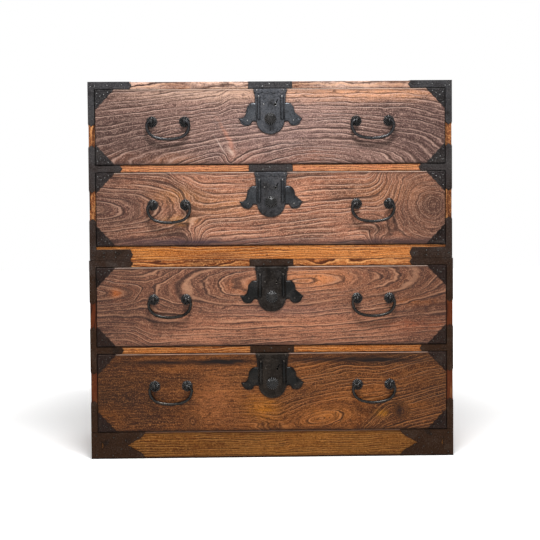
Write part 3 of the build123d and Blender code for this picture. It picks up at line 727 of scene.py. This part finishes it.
def block(mesh, centre, size, tilt=0.0):
    """A box about a centre, all in mm, turned about Y by tilt degrees."""
    place = Matrix.Translation(Vector(centre) * MM) @ Matrix.Rotation(-radians(tilt), 4, "Y")
    scale = Matrix.Diagonal((*[side * MM for side in size], 1))
    bmesh.ops.create_cube(mesh, size=1.0, matrix=place @ scale)


GROOVE_SHARE = 0.6          # the share of a flute's height under which its groove starts, painted near-black as shade


def lathe(mesh, centre, profile, sides, flutes=0, depth=None, start=0.0, closed=True):
    """A turned piece about an axis along Y, from (radius, forward) pairs in mm, its first ring at the
    back and its first corner turned by start. Flutes press into it by depth(radius), as a share of the
    radius, and their grooves take the piece's second material, for which the pieces use a near-black
    that is partly soot and partly painted shade."""
    x, y, z = centre
    rings = []
    for radius, forward in profile:
        points = []
        for turn in around(sides, start):
            share = 1 - depth(radius) * (1 - abs(cos(turn * flutes / 2))) if flutes else 1
            out = radius * share
            points.append((x + out * cos(turn), y - forward * share, z + out * sin(turn)))
        rings.append(corners(mesh, points))
    rows = skin(mesh, rings, closed)
    for row in rows if flutes else ():
        for turn, face in zip(around(sides, start + pi / sides), row):
            face.material_index = int(abs(cos(turn * flutes / 2)) < GROOVE_SHARE)


def tube(mesh, points, radii, sides):
    """A round bar along points in mm, with a radius at each and closed ends."""
    out = Vector((0, 1, 0))
    rings = []
    for index, (point, radius) in enumerate(zip(points, radii)):
        before = points[max(index - 1, 0)]
        after = points[min(index + 1, len(points) - 1)]
        other = (after - before).cross(out).normalized()
        ring = [point + (out * cos(turn) + other * sin(turn)) * radius for turn in around(sides)]
        rings.append(corners(mesh, ring))
    skin(mesh, rings)


# Sizes in mm, those of the solids that the pieces stand for or stand on.
SHEET = 1.2                 # corner irons
PLATE = 2.6                 # a lock plate's raised middle, over the front
COLLAR = 1.2                # and its collar, over the middle
ROSETTE_RADIUS = 15.0
ROSETTE_HEIGHT = 6.0
ROSETTE_FLUTES = 16
ROSETTE_SIDES = ROSETTE_FLUTES * 8
EYE_RADIUS = 5.6
EYE_HOLE = 3.3
EYE_WIDTH = 4.0
EYE_ROUNDING = 0.9
EYE_SIDES = 24
POST_SHANK = 5.0
BAIL_WIDTH = 112.0
BAIL_DROP = 47.0
BAIL_SHOULDER = 10.0
BAIL_CORNER = 34.0
BAIL_OVERHANG = 5.0
BAIL_END = 2.5              # the bar's radius in the eyes and in its middle
BAIL_MIDDLE = 3.9
BAIL_SWELL = 26.0           # how far from its ends the bar reaches its full thickness
BAIL_SIDES = 16
POST_SPACING = 86.5
BUTTON_RADIUS = 16.5
BUTTON_FLUTES = 18
BUTTON_SIDES = BUTTON_FLUTES * 8
BUTTON_HEIGHT = 6.0
BUTTON_DOME = 8.0
STEM = 8.0

case_half = (cad_box[1] - cad_box[0]).x / 2 / MM
front_face = {drawer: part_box(f"{drawer}_front")[0].y / MM for drawer in DRAWERS}
front_top = {drawer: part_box(f"{drawer}_front")[1].z / MM for drawer in DRAWERS}
front_half = {drawer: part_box(f"{drawer}_front")[1].x / MM for drawer in DRAWERS}
front_foot = {drawer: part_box(f"{drawer}_front")[0].z / MM for drawer in DRAWERS}


def eye_places(drawer):
    """The eyes' axes: across, and the shared forward place and height, from the posts' box."""
    low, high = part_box(f"{drawer}_handle_posts")
    across = [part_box(f"{drawer}_{side}_bail") for side in ("left", "right")]
    middles = [(a.x + b.x) / 2 / MM for a, b in across]
    height = (low.z + high.z) / 2 / MM
    posts = [middle + side * POST_SPACING / 2 for middle in middles for side in (-1, 1)]
    return posts, low.y / MM + EYE_RADIUS, height


def skirt(radius):
    """The sloping outer part of a rosette or button, from the back, as a profile to turn."""
    return ((radius, 0.0), (radius, 0.2), (radius - 0.5, 0.6), (radius - 4.0, 2.8))


def rosette_depth(radius):
    """Flutes are deepest at the rim and fade toward the middle."""
    return 0.17 * min(1.0, max(0.0, (radius - 2.0) / 4.0))


def eye(mesh, x, y, z, wall):
    """The post's eye: a ring whose hole runs along X, on a neck that goes back to the wall."""
    half = EYE_WIDTH / 2
    flat = half - EYE_ROUNDING
    profile = ((-half, 0.0), (-flat, EYE_ROUNDING), (flat, EYE_ROUNDING), (half, 0.0))
    section = [(offset, EYE_RADIUS - EYE_ROUNDING + swell) for offset, swell in profile]
    section += [(offset, EYE_HOLE + EYE_ROUNDING - swell) for offset, swell in reversed(profile)]
    turns = around(EYE_SIDES)
    rings = [
        corners(mesh, [(x + offset, y - radius * cos(turn), z + radius * sin(turn)) for turn in turns])
        for offset, radius in section
    ]
    skin(mesh, rings + rings[:1], closed=False)
    near = y + EYE_HOLE
    block(mesh, (x, (near + wall) / 2, z), (EYE_WIDTH, wall - near, POST_SHANK))


def handle_posts(drawer):
    """Four posts: fluted rosette, eye, and the shank that goes through the drawer front."""
    mesh = bmesh.new()
    across, y, z = eye_places(drawer)
    face = front_face[drawer]
    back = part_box(f"{drawer}_handle_posts")[1].y / MM
    crown = ((ROSETTE_RADIUS - 7.6, 5.0), (ROSETTE_RADIUS - 10.0, 5.7), (2.0, ROSETTE_HEIGHT))
    rosette = skirt(ROSETTE_RADIUS) + crown
    for x in across:
        lathe(mesh, (x, face, z), rosette, ROSETTE_SIDES, ROSETTE_FLUTES, rosette_depth, pi / 2)
        eye(mesh, x, y, z, face - ROSETTE_HEIGHT + 1.0)
        block(mesh, (x, (face + back) / 2, z), (POST_SHANK, back - face, POST_SHANK))
    piece = finish_piece(f"{drawer}_posts", mesh, (petal_iron, shade_and_soot), drawer, smooth=False)
    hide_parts(f"{drawer}_handle_posts")


def arc(x, z, radius, start, end, steps):
    """Points on a circle about (x, z), without the first."""
    turns = [start + (end - start) * step / steps for step in range(1, steps + 1)]
    return [(x + radius * cos(turn), z + radius * sin(turn)) for turn in turns]


def bail_points():
    """Half a bail's centre line, from its end to its middle, hanging from height 0: a straight end, a
    shoulder, a corner, and a bottom arc that meets the corner without a kink."""
    half = BAIL_WIDTH / 2
    rise = BAIL_DROP - BAIL_SHOULDER
    bottom = (half**2 + rise**2 - 2 * half * BAIL_CORNER) / (2 * (rise - BAIL_CORNER))
    lift = bottom - BAIL_DROP
    corner_x = half - BAIL_CORNER
    join = atan2(-BAIL_SHOULDER - lift, corner_x)
    shoulder_x = half - BAIL_SHOULDER
    points = [(POST_SPACING / 2 - EYE_WIDTH / 2 - BAIL_OVERHANG, 0.0), (shoulder_x, 0.0)]
    points += arc(shoulder_x, -BAIL_SHOULDER, BAIL_SHOULDER, pi / 2, 0, 6)
    points += arc(corner_x, -BAIL_SHOULDER, BAIL_CORNER, 0, join, 10)
    points += arc(0, lift, bottom, join, -pi / 2, 12)
    return points


def bail(drawer, side):
    """A round bar that swells toward its middle, hung in its two eyes."""
    mesh = bmesh.new()
    low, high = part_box(f"{drawer}_{side}_bail")
    middle = (low.x + high.x) / 2 / MM
    _, y, z = eye_places(drawer)
    half = bail_points()
    run = [Vector((middle - x, y, z + h)) for x, h in half]
    run += [Vector((middle + x, y, z + h)) for x, h in reversed(half[:-1])]
    gone = [0.0]
    for before, after in zip(run, run[1:]):
        gone.append(gone[-1] + (after - before).length)
    shares = [min(1.0, min(way, gone[-1] - way) / BAIL_SWELL) for way in gone]
    radii = [BAIL_END + (BAIL_MIDDLE - BAIL_END) * sin(share * pi / 2) for share in shares]
    tube(mesh, run, radii, BAIL_SIDES)
    piece = finish_piece(f"{drawer}_{side}_bail_bar", mesh, (bar_iron,), f"{drawer}_{side}_handle")
    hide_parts(f"{drawer}_{side}_bail")


def button_depth(radius):
    """Flutes run from the rim to the smooth dome."""
    return 0.15 * min(1.0, max(0.0, (radius - BUTTON_DOME) / 2.0))


def lock_button(drawer):
    """Fluted skirt with a smooth dome in its middle, on the stem with its ramp."""
    mesh = bmesh.new()
    low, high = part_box(f"{drawer}_lock_button")
    height = (low.z + high.z) / 2 / MM
    front = low.y / MM
    back = front + BUTTON_HEIGHT
    dome = (
        (BUTTON_DOME + 0.4, 5.2), (BUTTON_DOME - 0.8, 5.5), (BUTTON_DOME - 2.6, 5.8),
        (BUTTON_DOME - 5.0, 5.95), (1.0, BUTTON_HEIGHT),
    )
    profile = skirt(BUTTON_RADIUS) + dome
    lathe(mesh, (0, back, height), profile, BUTTON_SIDES, BUTTON_FLUTES, button_depth, pi / 2)
    half = STEM / 2
    tail = high.y / MM
    stem = (
        (back, height - half), (tail, height - half), (tail - STEM, height + half), (back, height + half),
    )
    skin(mesh, [corners(mesh, [(x, y, z) for y, z in stem]) for x in (-half, half)])
    piece = finish_piece(f"{drawer}_push_button", mesh, (petal_iron, shade_and_soot), f"{drawer}_button", smooth=False)
    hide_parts(f"{drawer}_lock_button")


for drawer in DRAWERS:
    handle_posts(drawer)
    lock_button(drawer)
    for side in ("left", "right"):
        bail(drawer, side)


# ---- Nails


def nail_head(mesh, x, y, z, radius):
    """A low dome on the front, its flat side at y."""
    profile = ((radius, -0.3), (radius, 0.4), (radius * 0.8, 1.0), (radius * 0.4, 1.4))
    lathe(mesh, (x, y, z), profile, NAIL_SIDES)


def mirrored(places):
    """Places given for the right side, on both sides."""
    return [(side * x, z) for x, z in places for side in (-1, 1)]


NAIL_SIDES = 12
# Radii of the heads.
CORNER_NAIL = 1.7
CASE_NAIL = 1.8
PLATE_NAIL = 2.2
STUD_HEAD = 2.6
RIB_HEAD = 2.8

# From a drawer's side edge, and from its top or bottom edge.
CORNER_NAILS = ((34.0, 7.2), (6.0, 10.0), (6.0, 37.0), (14.0, 18.0), (24.0, 13.0))
# From the middle of the lock, and down from the drawer's top edge.
COLLAR_NAILS = ((35.5, 4.8),)
STUD = (-17.5, 41.0)
WING_NAILS = ((61.0, 84.5),)
# From the middle of the lock, and up from the drawer's top edge.
STRIKE_NAILS = ((-2.6, 13.0), (-21.0, 6.0), (45.0, 10.5))
# From the case's side edge, and above the floor.
TOP_STRAP_NAILS = ((9.0, 990.0), (20.0, 990.0), (54.0, 994.0), (92.0, 995.0))
FOOT_STRAP_NAILS = (
    (11.0, 545.0), (40.0, 551.0), (40.0, 541.0), (71.0, 552.5), (71.0, 539.5), (104.0, 545.0),
)
BASE_NAILS = (
    (14.0, 62.0), (14.0, 11.0), (60.0, 58.0), (58.0, 9.0), (92.0, 49.0), (104.0, 30.0), (80.0, 26.0),
    (124.0, 57.0),
)


def drawer_nails(drawer):
    """Nails of the corner irons and of the lock plate."""
    mesh = bmesh.new()
    face = front_face[drawer]
    top = front_top[drawer]
    for x, z in mirrored([(front_half[drawer] - x, z) for x, z in CORNER_NAILS]):
        nail_head(mesh, x, face - SHEET, top - z, CORNER_NAIL)
        nail_head(mesh, x, face - SHEET, front_foot[drawer] + z, CORNER_NAIL)
    for x, z in mirrored(COLLAR_NAILS):
        nail_head(mesh, x, face - PLATE - COLLAR, top - z, PLATE_NAIL)
    for x, z in mirrored(WING_NAILS):
        nail_head(mesh, x, face - WING_CROWN, top - z, PLATE_NAIL)
    nail_head(mesh, STUD[0], face - PLATE, top - STUD[1], STUD_HEAD)
    rib_front = face - PLATE - RIB_HEIGHT + RIB_SUNK
    for x, z in mirrored([(RIB_OFFSET, RIB_TOP + RIB_RADIUS)]):
        nail_head(mesh, x, rib_front, top - z, RIB_HEAD)
    finish_piece(f"{drawer}_nails", mesh, (nail_iron,), drawer)


def case_nails():
    """Nails of the straps, the plinth's irons and the strike plates."""
    mesh = bmesh.new()
    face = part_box("case_irons")[0].y / MM
    places = TOP_STRAP_NAILS + FOOT_STRAP_NAILS + BASE_NAILS
    for x, z in mirrored([(case_half - x, z) for x, z in places]):
        nail_head(mesh, x, face, z, CASE_NAIL)
    for drawer in DRAWERS:
        for x, z in STRIKE_NAILS:
            nail_head(mesh, x, face, front_top[drawer] + z, PLATE_NAIL)
    finish_piece("case_nails", mesh, (nail_iron,), "case")


# ---- Relief of the lock plates

WING_WALL = 0.5             # the upright edge under the swelling, and the height it swells to
WING_CROWN = 3.8
WING_SHOULDER = 7.0         # how far from its edge it gets there
RIB_OFFSET = 31.0
RIB_RADIUS = 3.5
RIB_HEIGHT = 4.2
RIB_SUNK = 1.0              # how far a head sinks into the rib's rounded end
RIB_TOP = 18.0
RIB_BOTTOM = 82.0
RIB_TIP = 0.02              # half the width of its end rings, which would be points without it
RIB_STEPS = 8
END_STEPS = 4
BEDDED = 0.2                # how far a piece reaches into what it stands on
KEYHOLE = (13.0, 42.0)
KEYHOLE_RADIUS = 3.1
KEYHOLE_SLOT = 14.5
KEYHOLE_WIDTH = 2.4
KEYHOLE_TURN = 63.0
KEYHOLE_DEPTH = 0.5         # from the plate's front back to the near-black block painted as the hole's shade
RIM_SIDES = 24
# The slit is a near-black block on the plate: painted shade of a slot.
SLIT = (0.0, 109.0)
SLIT_LENGTH = 5.5
SLIT_WIDTH = 1.3
SLIT_PROUD = 0.15

# The right wing's outline, from the middle of the drawer's top edge: outward and down. The first
# corner, the tip and the last corner are sharp.
WING = (
    (36.0, 38.2), (46.0, 36.4), (55.0, 39.0), (60.5, 49.0), (63.6, 60.0), (66.2, 70.0), (70.0, 75.8),
    (76.0, 78.0), (84.5, 78.2), (80.4, 84.4), (72.0, 93.0), (62.0, 97.6), (54.5, 96.4), (50.0, 90.0),
    (47.0, 85.0), (42.0, 84.0), (36.0, 88.0),
)
WING_TIP = 8
CUSHION_STEP = 1.6


def softened(points, sharp):
    """A closed outline with its corners cut, but for the sharp ones, and where those are in it."""
    cut = []
    kept = set()
    for index, point in enumerate(points):
        before = points[index - 1]
        after = points[(index + 1) % len(points)]
        if index in sharp:
            kept.add(len(cut))
            cut.append(point)
        else:
            cut += [tuple(p * 0.75 + q * 0.25 for p, q in zip(point, other)) for other in (before, after)]
    return cut, kept


def distance_to(outline, point):
    """From a point to the nearest edge of a closed outline."""
    nearest = []
    for start, end in zip(outline, outline[1:] + outline[:1]):
        along = end - start
        share = max(0.0, min(1.0, (point - start).dot(along) / along.length_squared))
        nearest.append((start + along * share - point).length)
    return min(nearest)


def encloses(outline, point):
    """Whether a closed outline goes round a point."""
    inside = False
    for start, end in zip(outline, outline[1:] + outline[:1]):
        if (start.y > point.y) != (end.y > point.y):
            crossing = start.x + (point.y - start.y) * (end.x - start.x) / (end.y - start.y)
            inside ^= point.x < crossing
    return inside


def cushion(mesh, points, back, wall, crown, shoulder):
    """A sheet with a rounded edge, from an outline of (x, z) in mm at y = back: it stands up by wall
    and then swells to crown over the shoulder's width."""
    outline = [Vector(point) for point in points]
    lines = []
    for values in zip(*points):
        count = int((max(values) - min(values)) / CUSHION_STEP)
        lines.append([min(values) + CUSHION_STEP * step for step in range(1, count + 1)])
    clear = CUSHION_STEP * 0.6
    inner = [Vector(place) for place in product(*lines)]
    inner = [place for place in inner if encloses(outline, place) and distance_to(outline, place) > clear]
    edges = [((end - 1) % len(outline), end) for end in range(len(outline))]
    places, _, faces, *_ = delaunay_2d_cdt(outline + inner, edges, [], 0, 1e-5)
    swollen = []
    for place in places:
        depth = min(1.0, distance_to(outline, place) / shoulder)
        height = wall + (crown - wall) * sqrt(1 - (1 - depth) ** 2)
        swollen.append((place.x, back - height, place.y))
    top = corners(mesh, swollen)
    for face in faces:
        middle = sum((places[index] for index in face), Vector((0, 0))) / len(face)
        if encloses(outline, middle):
            mesh.faces.new([top[index] for index in face])
    foot = corners(mesh, [(point.x, back, point.y) for point in outline])
    # Known fault: at index 0, top[index - 1] is the last inner corner, not the outline's last.
    for index in range(len(outline)):
        mesh.faces.new((foot[index - 1], foot[index], top[index], top[index - 1]))
    mesh.faces.new(foot)


def rib(mesh, x, face, low, high):
    """A half-round bar standing on the plate, its ends rounded."""
    turns = [pi / 2 * step / END_STEPS for step in range(END_STEPS + 1)]
    arch = [pi * step / RIB_STEPS for step in range(RIB_STEPS + 1)]
    rings = []
    for end, sign in ((low + RIB_RADIUS, -1), (high - RIB_RADIUS, 1)):
        for turn in turns[::sign]:
            half = RIB_RADIUS * cos(turn) + RIB_TIP
            height = RIB_HEIGHT * cos(turn)
            z = end + sign * RIB_RADIUS * sin(turn)
            rings.append(corners(mesh, [(x + half * cos(t), face - height * sin(t), z) for t in arch]))
    skin(mesh, rings)


def lock_relief(drawer):
    """Raised wings, half-round ribs, the keyhole's rim, and near-black blocks in the keyhole and slit as
    painted shade.
    """
    face = front_face[drawer]
    top = front_top[drawer]
    mesh = bmesh.new()
    outline, kept = softened(WING, {0, WING_TIP, len(WING) - 1})
    outline, _ = softened(outline, kept)
    for side in (-1, 1):
        wing = [(side * x, top - z) for x, z in outline]
        cushion(mesh, wing, face, WING_WALL, WING_CROWN, WING_SHOULDER)
    for side in (-1, 1):
        rib(mesh, side * RIB_OFFSET, face - PLATE + BEDDED, top - RIB_BOTTOM, top - RIB_TOP)
    finish_piece(f"{drawer}_lock_relief", mesh, (worked_iron,), drawer)

    mesh = bmesh.new()
    x, z = KEYHOLE[0], top - KEYHOLE[1]
    rim = (
        (KEYHOLE_RADIUS, 0.0), (KEYHOLE_RADIUS, 0.7), (KEYHOLE_RADIUS + 0.5, 1.0),
        (KEYHOLE_RADIUS + 1.1, 0.7), (KEYHOLE_RADIUS + 1.1, -0.3),
    )
    lathe(mesh, (x, face - PLATE, z), rim, RIM_SIDES, closed=False)
    finish_piece(f"{drawer}_keyhole_rim", mesh, (nail_iron,), drawer)

    # Painted shade: near-black blocks in the keyhole's slot and the slit.
    mesh = bmesh.new()
    turn = radians(KEYHOLE_TURN)
    middle = KEYHOLE_SLOT / 2
    depth = PLATE - KEYHOLE_DEPTH
    centre = (x + middle * cos(turn), face - depth / 2, z + middle * sin(turn))
    block(mesh, centre, (KEYHOLE_SLOT, depth, KEYHOLE_WIDTH), KEYHOLE_TURN)
    depth = PLATE + SLIT_PROUD
    block(mesh, (SLIT[0], face - depth / 2, top - SLIT[1]), (SLIT_WIDTH, depth, SLIT_LENGTH))
    finish_piece(f"{drawer}_keyhole_inside", mesh, (shade_and_soot,), drawer, smooth=False)


for drawer in DRAWERS:
    drawer_nails(drawer)
    lock_relief(drawer)
case_nails()


# ---- Stage


def seen_directly(tree):
    """1 for rays from the camera, mirrors and glass, 0 for light that falls on things."""
    path = tree.nodes.new("ShaderNodeLightPath")
    rays = ("Is Camera Ray", "Is Glossy Ray", "Is Transmission Ray")
    camera, glossy, clear = (Number(tree, path.outputs[ray]) for ray in rays)
    return camera.math("MAXIMUM", glossy).math("MAXIMUM", clear)


AMBIENT = 0.24              # of the white surroundings' strength, as light on things
world = bpy.data.worlds.new("studio")
scene.world = world
world.use_nodes = True
background = world.node_tree.nodes["Background"]
background.inputs["Color"].default_value = (1, 1, 1, 1)
strength = seen_directly(world.node_tree) * (1.0 - AMBIENT) + AMBIENT
plug_in(world.node_tree, strength, background.inputs["Strength"])

FLOOR_SIZE = 16.0
FLOOR_GLOW = 0.3            # near the chest, where its shadow has to show
GLOW_FROM = 700.0           # mm from the middle, where the floor starts to turn white
GLOW_FULL = 2600.0


def floor():
    """A pale floor that glows toward white away from the chest, and keeps the shadow."""
    mesh = bmesh.new()
    bmesh.ops.create_grid(mesh, x_segments=1, y_segments=1, size=FLOOR_SIZE)
    data = bpy.data.meshes.new("floor")
    mesh.to_mesh(data)
    mesh.free()
    piece = placed("floor", data)
    material, tree, shader, (x, y, _) = new_material("pale_floor")
    far = (x.squared() + y.squared()).math("SQRT")
    grey = noise(tree, combine(tree, x, y, 0.0), 0.004)
    paint(tree, shader, (246, 246, 246), ((grey * 0.3, (250, 250, 250)),))
    shader.inputs["Roughness"].default_value = 0.9
    shader.inputs["Emission Color"].default_value = (1, 1, 1, 1)
    glow = seen_directly(tree) * (far.smooth(GLOW_FROM, GLOW_FULL) * (1.0 - FLOOR_GLOW) + FLOOR_GLOW)
    plug_in(tree, glow, shader.inputs["Emission Strength"])
    data.materials.append(material)


floor()


def area_light(name, place, target, size, power):
    """A white lamp of a size in metres that looks at target."""
    data = bpy.data.lights.new(name, "AREA")
    data.shape = "RECTANGLE"
    data.size, data.size_y = size
    data.energy = power
    lamp = placed(name, data)
    lamp.location = place
    lamp.rotation_euler = (Vector(target) - Vector(place)).to_track_quat("-Z", "Y").to_euler()


area_light("key", place=(0.05, -1.2, 2.6), target=(0, -0.2, 0.66), size=(0.7, 0.4), power=66)
area_light("front_fill", place=(-0.3, -3.2, 1.5), target=(0, 0, 0.5), size=(2.2, 1.6), power=9)
area_light("back_fill", place=(0.6, 2.8, 2.2), target=(0, 0, 0.5), size=(2.4, 1.6), power=26)

# The camera's focal length in the photo's pixels, its place in metres and its turns in degrees are
# fitted so that the front's corners fall where the photo has them.
PHOTO_SIDE = 540
SENSOR = 36.0
FOCAL_PX = 973.5
CAMERA_PLACE = (-0.0416, -2.8, 0.5829)
CAMERA_YAW = 0.827
CAMERA_PITCH = -1.780
CAMERA_ROLL = -0.450

camera_data = bpy.data.cameras.new("camera")
camera_data.sensor_width = SENSOR
camera_data.lens = FOCAL_PX * SENSOR / PHOTO_SIDE
camera = placed("camera", camera_data)
turn = Matrix.Rotation(radians(-CAMERA_YAW), 4, "Z")
tilt = Matrix.Rotation(radians(90 + CAMERA_PITCH), 4, "X")
roll = Matrix.Rotation(radians(CAMERA_ROLL), 4, "Z")
camera.matrix_world = Matrix.Translation(CAMERA_PLACE) @ turn @ tilt @ roll
scene.camera = camera
scene.view_settings.view_transform = "Standard"
